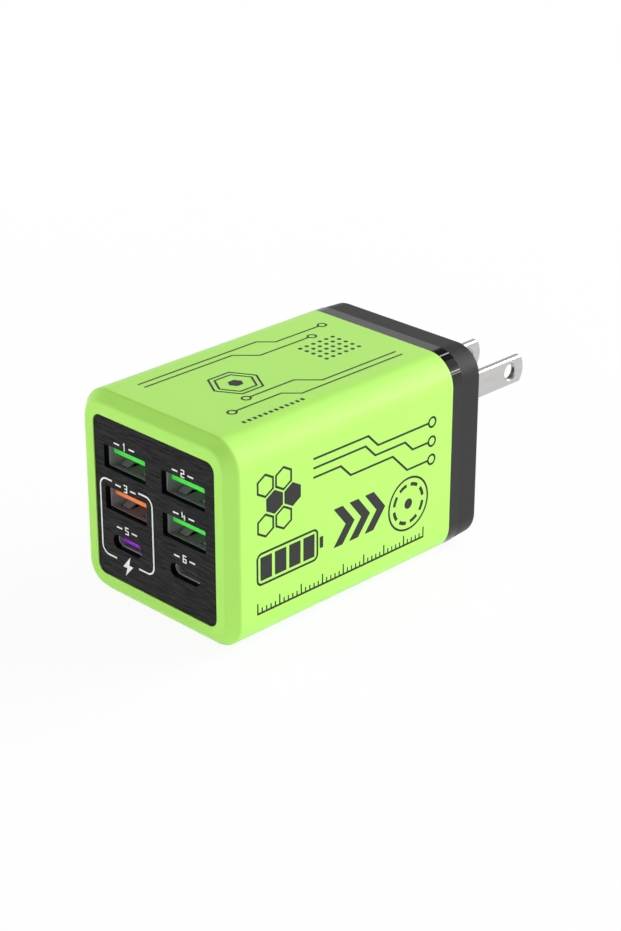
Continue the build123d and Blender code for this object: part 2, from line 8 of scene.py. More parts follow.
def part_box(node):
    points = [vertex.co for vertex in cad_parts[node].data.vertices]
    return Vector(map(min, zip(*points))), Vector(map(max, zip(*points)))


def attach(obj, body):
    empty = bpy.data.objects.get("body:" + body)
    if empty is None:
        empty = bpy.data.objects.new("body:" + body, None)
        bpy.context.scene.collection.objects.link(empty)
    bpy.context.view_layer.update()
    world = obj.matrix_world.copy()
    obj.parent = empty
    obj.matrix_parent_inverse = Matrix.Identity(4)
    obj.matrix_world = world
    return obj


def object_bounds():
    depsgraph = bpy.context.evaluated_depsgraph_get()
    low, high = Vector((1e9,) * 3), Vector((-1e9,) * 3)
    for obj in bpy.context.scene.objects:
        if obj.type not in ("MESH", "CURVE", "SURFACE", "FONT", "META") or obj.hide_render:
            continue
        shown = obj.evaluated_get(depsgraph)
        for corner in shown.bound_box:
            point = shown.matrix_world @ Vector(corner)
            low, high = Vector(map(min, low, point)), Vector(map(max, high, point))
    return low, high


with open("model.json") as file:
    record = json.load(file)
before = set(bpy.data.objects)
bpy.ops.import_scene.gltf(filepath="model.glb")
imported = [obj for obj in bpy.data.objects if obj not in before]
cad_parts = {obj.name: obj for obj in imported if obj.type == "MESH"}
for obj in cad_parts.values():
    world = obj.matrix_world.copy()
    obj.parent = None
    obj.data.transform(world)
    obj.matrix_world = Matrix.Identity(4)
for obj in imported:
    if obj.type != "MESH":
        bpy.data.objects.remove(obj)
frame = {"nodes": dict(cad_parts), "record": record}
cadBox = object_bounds()
scene = bpy.context.scene
mm = 0.001
print("frame loaded:", len(frame["nodes"]), "nodes")


def linear(hexColour):
    shares = [int(hexColour[k:k + 2], 16) / 255 for k in (1, 3, 5)]
    return [s / 12.92 if s <= 0.04045 else ((s + 0.055) / 1.055) ** 2.4 for s in shares] + [1.0]


def addNode(tree, kind, inputs=None, **settings):
    # a Mix node has its factor at socket 0, its two numbers at 2 and 3 and its two colours at 6 and 7
    node = tree.nodes.new(kind)
    for name, value in settings.items():
        setattr(node, name, value)
    for socket, value in (inputs or {}).items():
        if isinstance(value, bpy.types.NodeSocket):
            tree.links.new(value, node.inputs[socket])
        else:
            node.inputs[socket].default_value = value
    return node


def newFinish(name, shaderValues):
    material = bpy.data.materials.new(name)
    material.use_nodes = True
    tree = material.node_tree
    tree.nodes.clear()
    shader = addNode(tree, "ShaderNodeBsdfPrincipled", shaderValues)
    addNode(tree, "ShaderNodeOutputMaterial", {"Surface": shader.outputs[0]})
    place = addNode(tree, "ShaderNodeTexCoord").outputs["Object"]
    return material, tree, shader, place


# Finishes of the outside

housingLook = {
    "green": "#B3EE6C",
    "flowGreen": "#AEEA66",
    "flowSize": 16.0,  # mm, slow mottle where the melt flowed
    "flowDetail": 2.0,
    "grainSize": 0.5,  # mm, spark-eroded mould grain, drawn about three times too coarse so that it shows
    "grainDetail": 3.0,
    "grainDepth": 0.004,
    "grainStrength": 0.35,
    "roughness": (0.33, 0.39),
    "gloss": 0.28,
}


def polycarbonateMoulded(look):
    # even bright colour, and a soft wide sheen that turns with the rounded edges
    material, tree, shader, place = newFinish("polycarbonate_moulded_green", {
        "Specular IOR Level": look["gloss"]})
    flow = addNode(tree, "ShaderNodeTexNoise", {
        "Vector": place, "Scale": 1 / (look["flowSize"] * mm), "Detail": look["flowDetail"]})
    grain = addNode(tree, "ShaderNodeTexNoise", {
        "Vector": place, "Scale": 1 / (look["grainSize"] * mm), "Detail": look["grainDetail"]})
    colour = addNode(tree, "ShaderNodeMix", {
        0: flow.outputs["Fac"], 6: linear(look["green"]), 7: linear(look["flowGreen"])}, data_type="RGBA")
    rough = addNode(tree, "ShaderNodeMapRange", {
        "Value": grain.outputs["Fac"], "To Min": look["roughness"][0], "To Max": look["roughness"][1]})
    bump = addNode(tree, "ShaderNodeBump", {
        "Height": grain.outputs["Fac"], "Strength": look["grainStrength"],
        "Distance": look["grainDepth"] * mm})
    tree.links.new(colour.outputs[2], shader.inputs["Base Color"])
    tree.links.new(rough.outputs["Result"], shader.inputs["Roughness"])
    tree.links.new(bump.outputs["Normal"], shader.inputs["Normal"])
    return material


capLook = {
    "black": "#0C0C0D",
    "paleBlack": "#131314",
    "bandEnd": 31.1,  # mm along the body, where the polished band stops
    "bandRoughness": 0.05,
    "matteRoughness": (0.46, 0.56),
    "grainSize": 0.35,
    "grainDetail": 2.0,
    "grainDepth": 0.012,
    "grainStrength": 0.5,
    "ior": 1.46,
}


def absMoulded(look):
    # one black moulding with two surfaces: mirror bright next to the housing, fine matte grain behind
    material, tree, shader, place = newFinish("abs_moulded_black", {"IOR": look["ior"]})
    axes = addNode(tree, "ShaderNodeSeparateXYZ", {0: place})
    band = addNode(tree, "ShaderNodeMath", {
        0: axes.outputs["Y"], 1: look["bandEnd"] * mm}, operation="LESS_THAN")
    grain = addNode(tree, "ShaderNodeTexNoise", {
        "Vector": place, "Scale": 1 / (look["grainSize"] * mm), "Detail": look["grainDetail"]})
    colour = addNode(tree, "ShaderNodeMix", {
        0: grain.outputs["Fac"], 6: linear(look["black"]), 7: linear(look["paleBlack"])}, data_type="RGBA")
    matte = addNode(tree, "ShaderNodeMapRange", {
        "Value": grain.outputs["Fac"],
        "To Min": look["matteRoughness"][0], "To Max": look["matteRoughness"][1]})
    rough = addNode(tree, "ShaderNodeMix", {
        0: band.outputs[0], 2: matte.outputs["Result"], 3: look["bandRoughness"]}, data_type="FLOAT")
    depth = addNode(tree, "ShaderNodeMapRange", {
        "Value": band.outputs[0], "To Min": look["grainStrength"], "To Max": 0.0})
    bump = addNode(tree, "ShaderNodeBump", {
        "Height": grain.outputs["Fac"], "Strength": depth.outputs["Result"],
        "Distance": look["grainDepth"] * mm})
    tree.links.new(colour.outputs[2], shader.inputs["Base Color"])
    tree.links.new(rough.outputs[0], shader.inputs["Roughness"])
    tree.links.new(bump.outputs["Normal"], shader.inputs["Normal"])
    return material


panelLook = {
    "dark": "#030303",
    "pale": "#2A2A2B",
    # painted shade: the walls of the cut-outs get a flat near black, as shade would make them
    "cutoutShadeBlack": "#050505",
    "faceStart": -37.25,  # mm along the body, the brushed face in front of it and, behind it, the walls of the cut-outs, painted near black as their shade
    "streakLength": 3.6,
    "streakWidth": 0.24,  # mm, real hairlines are a tenth of this and would not show
    "streakDetail": 4.0,
    "streakRoughness": 0.62,
    "streakWaver": 0.25,
    "streakDepth": 0.02,
    "streakStrength": 0.5,
    "streakSpread": (0.36, 0.68),  # part of the noise that runs from dark to pale
    "roughness": (0.38, 0.56),
    "gloss": 0.11,  # the brushed lacquer scatters most of its shine
}


def panelBrushed(look):
    # hairlines brushed across the plate, so the black breaks into short pale and dark streaks
    material, tree, shader, place = newFinish("polycarbonate_film_brushed_black", {
        "Specular IOR Level": look["gloss"]})
    axes = addNode(tree, "ShaderNodeSeparateXYZ", {0: place})
    face = addNode(tree, "ShaderNodeMath", {
        0: axes.outputs["Y"], 1: look["faceStart"] * mm}, operation="LESS_THAN")
    across = 1 / (look["streakWidth"] * mm)
    stretched = addNode(tree, "ShaderNodeMapping", {
        "Vector": place, "Scale": (1 / (look["streakLength"] * mm), across, across)})
    streak = addNode(tree, "ShaderNodeTexNoise", {
        "Vector": stretched.outputs[0], "Scale": 1.0, "Detail": look["streakDetail"],
        "Roughness": look["streakRoughness"], "Distortion": look["streakWaver"]})
    spread = addNode(tree, "ShaderNodeMapRange", {
        "Value": streak.outputs["Fac"],
        "From Min": look["streakSpread"][0], "From Max": look["streakSpread"][1]})
    colour = addNode(tree, "ShaderNodeMix", {
        0: spread.outputs["Result"], 6: linear(look["dark"]), 7: linear(look["pale"])}, data_type="RGBA")
    # painted shade: behind the front face the walls of the cut-outs take the flat near black in place of
    # the streaks
    faced = addNode(tree, "ShaderNodeMix", {
        0: face.outputs[0], 6: linear(look["cutoutShadeBlack"]), 7: colour.outputs[2]}, data_type="RGBA")
    rough = addNode(tree, "ShaderNodeMapRange", {
        "Value": spread.outputs["Result"], "To Min": look["roughness"][1], "To Max": look["roughness"][0]})
    bump = addNode(tree, "ShaderNodeBump", {
        "Height": streak.outputs["Fac"], "Strength": look["streakStrength"],
        "Distance": look["streakDepth"] * mm})
    tree.links.new(faced.outputs[2], shader.inputs["Base Color"])
    tree.links.new(rough.outputs["Result"], shader.inputs["Roughness"])
    tree.links.new(bump.outputs["Normal"], shader.inputs["Normal"])
    return material


mottleSpread = (0.3, 0.7)  # part of the noise that runs from the first colour to the second
mottleStrength = 0.4
mottleDetail = 3.0
mottleGrainDetail = 2.0


def mottledFinish(name, look):
    # slow mottle in colour and gloss over a finer relief, both pulled long where the surface was drawn
    material, tree, shader, place = newFinish(name, {
        "Metallic": look.get("metallic", 0.0), "Specular IOR Level": look.get("gloss", 0.5)})
    pulled = addNode(tree, "ShaderNodeMapping", {
        "Vector": place, "Scale": look.get("pull", (1.0, 1.0, 1.0))})
    mottle = addNode(tree, "ShaderNodeTexNoise", {
        "Vector": pulled.outputs[0], "Scale": 1 / (look["mottleSize"] * mm), "Detail": mottleDetail})
    grain = addNode(tree, "ShaderNodeTexNoise", {
        "Vector": pulled.outputs[0], "Scale": 1 / (look["grainSize"] * mm), "Detail": mottleGrainDetail})
    spread = addNode(tree, "ShaderNodeMapRange", {
        "Value": mottle.outputs["Fac"], "From Min": mottleSpread[0], "From Max": mottleSpread[1]})
    first, second = look["colours"]
    colour = addNode(tree, "ShaderNodeMix", {
        0: spread.outputs["Result"], 6: linear(first), 7: linear(second)}, data_type="RGBA")
    rough = addNode(tree, "ShaderNodeMapRange", {
        "Value": spread.outputs["Result"], "To Min": look["roughness"][0], "To Max": look["roughness"][1]})
    bump = addNode(tree, "ShaderNodeBump", {
        "Height": grain.outputs["Fac"], "Strength": mottleStrength, "Distance": look["grainDepth"] * mm})
    tree.links.new(colour.outputs[2], shader.inputs["Base Color"])
    tree.links.new(rough.outputs["Result"], shader.inputs["Roughness"])
    tree.links.new(bump.outputs["Normal"], shader.inputs["Normal"])
    return material


# Drawn metal has its mottle pulled along the body, so one step along Y counts for little
alongBody = (1.0, 0.06, 1.0)
acrossBody = (0.06, 1.0, 1.0)

mottledLooks = {
    # bright cool metal with faint stamping lines along the blade
    "brass_nickel_plated": {
        "colours": ("#CBCAC8", "#C4C3C1"), "mottleSize": 0.6, "grainSize": 0.3, "pull": alongBody,
        "grainDepth": 0.0015, "roughness": (0.36, 0.42), "metallic": 1.0},
    # greyer folded sheet, duller where the plating is thin
    "steel_tin_plated": {
        "colours": ("#A09EA2", "#949296"), "mottleSize": 0.8, "grainSize": 0.3, "pull": alongBody,
        "grainDepth": 0.004, "roughness": (0.45, 0.55), "metallic": 0.15},
    # saturated outlet tongues with a dull moulded face
    "nylon_moulded_green": {
        "colours": ("#49F04A", "#3FE642"), "mottleSize": 1.2, "grainSize": 0.25,
        "grainDepth": 0.005, "roughness": (0.45, 0.55)},
    "nylon_moulded_orange": {
        "colours": ("#FF8C48", "#FB823C"), "mottleSize": 1.2, "grainSize": 0.25,
        "grainDepth": 0.005, "roughness": (0.45, 0.55)},
    "nylon_moulded_purple": {
        "colours": ("#B322F2", "#A61CE6"), "mottleSize": 1.2, "grainSize": 0.25,
        "grainDepth": 0.005, "roughness": (0.45, 0.55)},
    "nylon_moulded_grey": {
        "colours": ("#262627", "#202021"), "mottleSize": 1.2, "grainSize": 0.25,
        "grainDepth": 0.005, "roughness": (0.45, 0.55)},
    # thin warm gold over copper alloy, bright and a little streaky
    "copper_gold_flashed": {
        "colours": ("#F0CE84", "#E2BC6C"), "mottleSize": 0.4, "grainSize": 0.2, "pull": alongBody,
        "grainDepth": 0.002, "roughness": (0.18, 0.28), "metallic": 1.0},
    # black moulded holders with a dull glass-filled skin
    "nylon_moulded_black": {
        "colours": ("#1F1F20", "#292929"), "mottleSize": 1.5, "grainSize": 0.3,
        "grainDepth": 0.01, "roughness": (0.48, 0.6)},
    # rubbery wire sleeve with long draw marks
    "pvc_extruded_black": {
        "colours": ("#1B1B1C", "#232324"), "mottleSize": 2.0, "grainSize": 0.4, "pull": alongBody,
        "grainDepth": 0.006, "roughness": (0.4, 0.5)},
    # glossy lacquer over woven glass, with the weave just showing through
    "laminate_solder_masked_green": {
        "colours": ("#175A32", "#1E6B3C"), "mottleSize": 0.6, "grainSize": 0.3,
        "grainDepth": 0.006, "roughness": (0.22, 0.34)},
    # milky cut film
    "polyester_film_cut": {
        "colours": ("#DAD8CE", "#E4E2DA"), "mottleSize": 3.0, "grainSize": 0.5,
        "grainDepth": 0.004, "roughness": (0.3, 0.42)},
    # bright drawn can with fine vertical lines
    "aluminium_drawn": {
        "colours": ("#D2D3D6", "#C4C5C9"), "mottleSize": 0.5, "grainSize": 0.25,
        "pull": (1.0, 1.0, 0.06), "grainDepth": 0.003, "roughness": (0.22, 0.3), "metallic": 1.0},
    # tight glossy sleeve, slightly uneven where it shrank
    "polyester_sleeve_shrunk": {
        "colours": ("#26355C", "#2B3C68"), "mottleSize": 2.5, "grainSize": 0.8,
        "grainDepth": 0.01, "roughness": (0.16, 0.26)},
    # charcoal sintered core with a gritty ground face
    "ferrite_sintered": {
        "colours": ("#2E2E31", "#3A3A3D"), "mottleSize": 0.6, "grainSize": 0.2,
        "grainDepth": 0.012, "roughness": (0.5, 0.66)},
    # glossy amber tape, faintly wrinkled round the coil
    "polyester_tape_wound": {
        "colours": ("#E3B62B", "#D8A81F"), "mottleSize": 3.0, "grainSize": 0.7,
        "pull": (1.0, 1.0, 0.2), "grainDepth": 0.02, "roughness": (0.2, 0.32)},
    # red brown enamelled wire laid side by side
    "copper_enamelled": {
        "colours": ("#C96A35", "#A94F24"), "mottleSize": 0.8, "grainSize": 0.5, "pull": acrossBody,
        "grainDepth": 0.08, "roughness": (0.22, 0.34), "metallic": 0.9},
    # dull warm yellow box moulding
    "polyester_box_moulded": {
        "colours": ("#E0B23C", "#D9A832"), "mottleSize": 2.0, "grainSize": 0.35,
        "grainDepth": 0.008, "roughness": (0.36, 0.48)},
    # chalky fired tube
    "ceramic_fired": {
        "colours": ("#E2DED2", "#D6D1C4"), "mottleSize": 1.0, "grainSize": 0.3,
        "grainDepth": 0.006, "roughness": (0.38, 0.5)},
    # dipped resin skin with a soft orange-peel
    "epoxy_dipped_green": {
        "colours": ("#2E6B3C", "#27603A"), "mottleSize": 1.5, "grainSize": 0.7,
        "grainDepth": 0.03, "roughness": (0.24, 0.36)},
    # sheared sheet with rolling lines along it
    "aluminium_rolled": {
        "colours": ("#C8C9CB", "#B8B9BC"), "mottleSize": 0.7, "grainSize": 0.3, "pull": alongBody,
        "grainDepth": 0.005, "roughness": (0.3, 0.4), "metallic": 1.0},
    # matte black package with a sandy mould texture
    "epoxy_moulded_black": {
        "colours": ("#1D1D1E", "#262626"), "mottleSize": 0.8, "grainSize": 0.2,
        "grainDepth": 0.01, "roughness": (0.5, 0.62)},
    # pressed powder block, dense grey with tiny specks
    "iron_powder_pressed": {
        "colours": ("#4A4A4C", "#5A5A5D"), "mottleSize": 0.3, "grainSize": 0.2,
        "grainDepth": 0.01, "roughness": (0.48, 0.62)},
    # flat dense ink with a faint screen grain
    "ink_screen_printed_grey": {
        "colours": ("#232325", "#2A2A2C"), "mottleSize": 0.9, "grainSize": 0.3,
        "grainDepth": 0.004, "roughness": (0.42, 0.52), "gloss": 0.3},
    "ink_screen_printed_white": {
        "colours": ("#F4F4F4", "#E9E9E9"), "mottleSize": 0.9, "grainSize": 0.3,
        "grainDepth": 0.004, "roughness": (0.42, 0.52)},
}
finishes = {name: mottledFinish(name, look) for name, look in mottledLooks.items()}
finishes["polycarbonate_moulded_green"] = polycarbonateMoulded(housingLook)
finishes["abs_moulded_black"] = absMoulded(capLook)
finishes["polycarbonate_film_brushed_black"] = panelBrushed(panelLook)

# Which finish each slot of the record gets
slotFinishes = {
    "housing_green": "polycarbonate_moulded_green",
    "panel_black": "polycarbonate_film_brushed_black",
    "cap_black": "abs_moulded_black",
    "blade_nickel": "brass_nickel_plated",
    "shell_steel": "steel_tin_plated",
    "tongue_green": "nylon_moulded_green",
    "tongue_orange": "nylon_moulded_orange",
    "tongue_purple": "nylon_moulded_purple",
    "tongue_grey": "nylon_moulded_grey",
    "contact_gold": "copper_gold_flashed",
    "plug_black": "nylon_moulded_black",
    "lead_sleeve": "pvc_extruded_black",
    "board_green": "laminate_solder_masked_green",
    "sheet_film": "polyester_film_cut",
    "can_sleeve": "polyester_sleeve_shrunk",
    "can_metal": "aluminium_drawn",
    "ferrite": "ferrite_sintered",
    "bobbin_plastic": "nylon_moulded_black",
    "winding_tape": "polyester_tape_wound",
    "winding_copper": "copper_enamelled",
    "filter_yellow": "polyester_box_moulded",
    "fuse_ceramic": "ceramic_fired",
    "disc_coat": "epoxy_dipped_green",
    "sink_aluminium": "aluminium_rolled",
    "chip_black": "epoxy_moulded_black",
    "coil_grey": "iron_powder_pressed",
}
for subpart in frame["record"]["subparts"]:
    piece = frame["nodes"][subpart["node"]]
    piece.data.materials.clear()
    piece.data.materials.append(finishes[slotFinishes[subpart["material_slot"]]])
print("finishes set on", len(frame["nodes"]), "nodes")


# Print on the body and on the panel

inkFilm = {"thickness": 0.03, "sink": 0.01}  # mm above and below the surface that carries it


def addStroke(sheet, points, width, closed=False):
    line = [Vector(p) for p in points]
    count = len(line)
    edges = []
    for k, point in enumerate(line):
        before = line[k - 1] if closed or k > 0 else None
        after = line[(k + 1) % count] if closed or k < count - 1 else None
        spans = ((before, point), (point, after))
        sides = [(b - a).normalized() for a, b in spans if a is not None and b is not None]
        normals = [Vector((-s.y, s.x)) for s in sides]
        mitre = sum(normals, Vector((0, 0)))
        mitre /= 1 + normals[0].dot(normals[1]) if len(normals) == 2 else 1
        edges.append([sheet.verts.new((*(point + mitre * (side * width / 2)), 0)) for side in (1, -1)])
    for k in range(count if closed else count - 1):
        nearLeft, nearRight = edges[k]
        farLeft, farRight = edges[(k + 1) % count]
        sheet.faces.new((nearLeft, nearRight, farRight, farLeft))


def addFill(sheet, points):
    sheet.faces.new([sheet.verts.new((*p, 0)) for p in points])


def arc(centre, radius, start, end, steps):
    turns = [math.radians(start + (end - start) * k / steps) for k in range(steps + 1)]
    return [(centre[0] + radius * math.cos(t), centre[1] + radius * math.sin(t)) for t in turns]


def polygon(centre, radius, sides, start=0.0):
    return arc(centre, radius, start, start + 360, sides)[:-1]


def hexagon(centre, radius):
    return polygon(centre, radius, 6, 30)


def rectangle(x, y, width, height):
    return [(x, y), (x + width, y), (x + width, y + height), (x, y + height)]


def raised(sheet):
    top = bmesh.ops.extrude_face_region(sheet, geom=list(sheet.faces), use_keep_orig=True)["geom"]
    lifted = [v for v in top if isinstance(v, bmesh.types.BMVert)]
    bmesh.ops.translate(sheet, vec=(0, 0, inkFilm["thickness"] + inkFilm["sink"]), verts=lifted)
    bmesh.ops.recalc_face_normals(sheet, faces=sheet.faces)
    bmesh.ops.translate(sheet, vec=(0, 0, -inkFilm["sink"]), verts=sheet.verts)
    bmesh.ops.scale(sheet, vec=(mm, mm, mm), verts=sheet.verts)
    mesh = bpy.data.meshes.new("inkMark")
    sheet.to_mesh(mesh)
    sheet.free()
    return mesh


# Repeats one mark in columns and rows
repeatTree = bpy.data.node_groups.new("repeatMark", "GeometryNodeTree")
repeatSockets = {}
for socketName, socketType in (("Mark", "NodeSocketGeometry"), ("Columns", "NodeSocketInt"),
                               ("Column step", "NodeSocketVector"), ("Rows", "NodeSocketInt"),
                               ("Row step", "NodeSocketVector"), ("Ink", "NodeSocketMaterial")):
    repeatSockets[socketName] = repeatTree.interface.new_socket(
        socketName, in_out="INPUT", socket_type=socketType)
repeatTree.interface.new_socket("Marks", in_out="OUTPUT", socket_type="NodeSocketGeometry")
given = addNode(repeatTree, "NodeGroupInput").outputs
columnLine = addNode(repeatTree, "GeometryNodeMeshLine", {
    "Count": given["Columns"], "Offset": given["Column step"]})
rowLine = addNode(repeatTree, "GeometryNodeMeshLine", {
    "Count": given["Rows"], "Offset": given["Row step"]})
oneRow = addNode(repeatTree, "GeometryNodeInstanceOnPoints", {
    "Points": columnLine.outputs[0], "Instance": given["Mark"]})
allRows = addNode(repeatTree, "GeometryNodeInstanceOnPoints", {
    "Points": rowLine.outputs[0], "Instance": oneRow.outputs[0]})
marks = addNode(repeatTree, "GeometryNodeRealizeInstances", {0: allRows.outputs[0]})
inked = addNode(repeatTree, "GeometryNodeSetMaterial", {
    "Geometry": marks.outputs[0], "Material": given["Ink"]})
addNode(repeatTree, "NodeGroupOutput", {0: inked.outputs[0]})


def repeated(mark, ink, columns, columnStep, rows=1, rowStep=(0, 0)):
    carrier = bpy.data.objects.new("markCarrier", mark)
    scene.collection.objects.link(carrier)
    modifier = carrier.modifiers.new("repeat", "NODES")
    modifier.node_group = repeatTree
    values = {"Columns": columns, "Column step": (columnStep[0] * mm, columnStep[1] * mm, 0), "Rows": rows,
              "Row step": (rowStep[0] * mm, rowStep[1] * mm, 0), "Ink": ink}
    for name, value in values.items():
        modifier[repeatSockets[name].identifier] = value
    mesh = bpy.data.meshes.new_from_object(carrier.evaluated_get(bpy.context.evaluated_depsgraph_get()))
    carrier.modifiers.remove(modifier)
    bpy.data.objects.remove(carrier)
    return mesh


def layPrint(name, meshes, face, ink):
    joined = bmesh.new()
    for mesh in meshes:
        joined.from_mesh(mesh)
        bpy.data.meshes.remove(mesh)
    joined.transform(face)
    for inkFace in joined.faces:
        inkFace.material_index = 0
    whole = bpy.data.meshes.new(name)
    joined.to_mesh(whole)
    joined.free()
    whole.materials.clear()
    whole.materials.append(ink)
    piece = bpy.data.objects.new(name, whole)
    scene.collection.objects.link(piece)
    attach(piece, "root")


def faceMatrix(across, up, out, origin):
    return Matrix([[across[k], up[k], out[k], origin[k]] for k in range(3)] + [[0, 0, 0, 1]])


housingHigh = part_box("main_housing")[1]
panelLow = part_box("front_panel")[0]
sideFace = faceMatrix((0, 1, 0), (0, 0, 1), (1, 0, 0), (housingHigh.x, 0, 0))
topFace = faceMatrix((1, 0, 0), (0, 1, 0), (0, 0, 1), (0, 0, housingHigh.z))
panelFace = faceMatrix((1, 0, 0), (0, 0, 1), (0, -1, 0), (0, panelLow.y, 0))

greyInk = finishes["ink_screen_printed_grey"]
whiteInk = finishes["ink_screen_printed_white"]

# Right side, in mm along the body and up it
sidePrint = {
    "line": 0.48,
    "traces": (
        ((-14.6, 37.4), (1.6, 37.4), (4.6, 34.4), (20.4, 34.4)),
        ((-14.6, 35.3), (0.8, 35.3), (3.8, 32.3), (13.0, 32.3), (15.4, 29.9), (20.4, 29.9)),
        ((-14.6, 33.2), (-6.6, 33.2), (-3.6, 30.2), (9.2, 30.2), (13.8, 25.6), (20.4, 25.6)),
    ),
    "padRadius": 1.1,
    "padSides": 28,
    "cellRadius": 2.45,
    "cellPitch": 5.1,
    "cellStart": (-28.2, 36.0),
    "cellGrid": (2, 2),  # columns and rows of open cells, with a row of filled ones between
    "chevronHeight": 9.0,
    "chevronThickness": 2.7,
    "chevronReach": 3.6,
    "chevronPitch": 4.7,
    "chevronStart": (-8.6, 19.4),
    "chevrons": 3,
    "levelBox": (-30.6, -13.4, 14.2, 21.2),
    "levelLine": 0.5,
    "levelCorner": 1.2,
    "cornerSteps": 6,
    "levelCap": (0.7, 1.7, 2.6),  # from the box, to there, and its height
    "levelCells": 4,
    "levelGap": 0.85,
    "rulerStart": (-30.6, 7.7),
    "rulerPitch": 1.25,
    "rulerTicks": 41,
    "rulerLong": 5,  # every fifth tick is long
    "rulerHeights": (1.21, 2.41),
    "tickLine": 0.34,
    "tickFoot": 0.21,  # above the middle of the base line
    "dialCentre": (14.4, 17.4),
    "dialRadii": (6.1, 4.5, 1.2),
    "dialSides": 56,
    "hubSides": 24,
    "dialArcs": 8,
    "dialArcLine": 0.8,
    "dialArcGap": 8.0,  # degrees left free at each end of an arc
    "dialArcSteps": 5,
}


def drawSide(values):
    width = values["line"]
    lines = bmesh.new()
    for trace in values["traces"]:
        addStroke(lines, trace, width)
        end = trace[-1]
        pad = (end[0] + values["padRadius"], end[1])
        addStroke(lines, polygon(pad, values["padRadius"], values["padSides"]), width, closed=True)
    low, high, bottom, top = values["levelBox"]
    corner = values["levelCorner"]
    turns = ((high - corner, top - corner, 0), (low + corner, top - corner, 90),
             (low + corner, bottom + corner, 180), (high - corner, bottom + corner, 270))
    steps = values["cornerSteps"]
    boxLine = [point for x, z, turn in turns for point in arc((x, z), corner, turn, turn + 90, steps)]
    addStroke(lines, boxLine, values["levelLine"], closed=True)
    capStart, capEnd, capHeight = values["levelCap"]
    addFill(lines, rectangle(high + capStart, (top + bottom - capHeight) / 2, capEnd - capStart, capHeight))
    rulerX, rulerZ = values["rulerStart"]
    length = values["rulerPitch"] * (values["rulerTicks"] - 1)
    over = values["tickLine"] / 2
    addStroke(lines, [(rulerX - over, rulerZ), (rulerX + length + over, rulerZ)], width)
    dial = values["dialCentre"]
    outer, inner, hub = values["dialRadii"]
    addStroke(lines, polygon(dial, outer, values["dialSides"]), width, closed=True)
    sector = 360 / values["dialArcs"]
    for turn in range(values["dialArcs"]):
        start = turn * sector + values["dialArcGap"]
        end = (turn + 1) * sector - values["dialArcGap"]
        addStroke(lines, arc(dial, inner, start, end, values["dialArcSteps"]), values["dialArcLine"])
    addFill(lines, polygon(dial, hub, values["hubSides"]))
    meshes = [raised(lines)]

    rowDrop = values["cellPitch"] * math.sqrt(3) / 2
    cellX, cellZ = values["cellStart"]
    cellColumns, cellRows = values["cellGrid"]
    cellStep = (values["cellPitch"], 0)
    outline = bmesh.new()
    addStroke(outline, hexagon((cellX, cellZ), values["cellRadius"]), width, closed=True)
    meshes.append(repeated(raised(outline), greyInk, cellColumns, cellStep, cellRows, (0, -2 * rowDrop)))
    filled = bmesh.new()
    between = (cellX + values["cellPitch"] / 2, cellZ - rowDrop)
    addFill(filled, hexagon(between, values["cellRadius"] + width / 2))
    meshes.append(repeated(raised(filled), greyInk, cellColumns, cellStep))

    chevronX, chevronZ = values["chevronStart"]
    half = values["chevronHeight"] / 2
    thick = values["chevronThickness"]
    reach = values["chevronReach"]
    chevron = bmesh.new()
    leftSide = [(chevronX, chevronZ + half), (chevronX + reach, chevronZ), (chevronX, chevronZ - half)]
    rightSide = [(x + thick, z) for x, z in reversed(leftSide)]
    addFill(chevron, leftSide + rightSide)
    meshes.append(repeated(raised(chevron), greyInk, values["chevrons"], (values["chevronPitch"], 0)))

    gap = values["levelGap"]
    cellWidth = (high - low - gap * (values["levelCells"] + 1)) / values["levelCells"]
    cell = bmesh.new()
    addFill(cell, rectangle(low + gap, bottom + gap, cellWidth, top - bottom - 2 * gap))
    meshes.append(repeated(raised(cell), greyInk, values["levelCells"], (cellWidth + gap, 0)))

    foot = rulerZ + values["tickFoot"]
    for every, height in zip((1, values["rulerLong"]), values["rulerHeights"]):
        tick = bmesh.new()
        addStroke(tick, [(rulerX, foot), (rulerX, rulerZ + height)], values["tickLine"])
        count = (values["rulerTicks"] - 1) // every + 1
        meshes.append(repeated(raised(tick), greyInk, count, (values["rulerPitch"] * every, 0)))
    return meshes


layPrint("side_print", drawSide(sidePrint), sideFace, greyInk)

# Top, in mm across the body and along it
topPrint = {
    "line": 0.44,
    "traces": (
        ((-13.6, -29.0), (-13.6, 5.0), (-10.6, 8.0), (-10.6, 21.4)),
        ((-11.6, -29.0), (-11.6, -4.0), (-7.4, 0.2), (-7.4, 15.0)),
        ((13.6, 22.4), (13.6, -8.0), (10.6, -11.0), (10.6, -24.0)),
        ((11.6, 22.4), (11.6, 0.0), (7.4, -4.2), (7.4, -17.0)),
    ),
    "padRadius": 0.95,
    "padSides": 24,
    "hexCentre": (0.0, -14.0),
    "hexRadii": (6.0, 4.6),
    "hexDot": 1.7,
    "dotStart": (-4.0, 9.0),
    "dotPitch": 2.0,
    "dotRadius": 0.5,
    "dotSides": 16,
    "dots": (5, 6),
    "tickStart": (15.4, -27.0),
    "tickSize": (1.0, 0.7),
    "tickPitch": 1.5,
    "ticks": 12,
}


def drawTop(values):
    width = values["line"]
    lines = bmesh.new()
    for trace in values["traces"]:
        addStroke(lines, trace, width)
        x, y = trace[-1]
        pad = (x, y + math.copysign(values["padRadius"], y - trace[-2][1]))
        addStroke(lines, polygon(pad, values["padRadius"], values["padSides"]), width, closed=True)
    for radius in values["hexRadii"]:
        addStroke(lines, hexagon(values["hexCentre"], radius), width, closed=True)
    addFill(lines, hexagon(values["hexCentre"], values["hexDot"]))
    meshes = [raised(lines)]
    dot = bmesh.new()
    addFill(dot, polygon(values["dotStart"], values["dotRadius"], values["dotSides"]))
    across, along = values["dots"]
    step = values["dotPitch"]
    meshes.append(repeated(raised(dot), greyInk, across, (step, 0), along, (0, step)))
    tick = bmesh.new()
    addFill(tick, rectangle(*values["tickStart"], *values["tickSize"]))
    meshes.append(repeated(raised(tick), greyInk, 1, (0, 0), values["ticks"], (0, values["tickPitch"])))
    return meshes


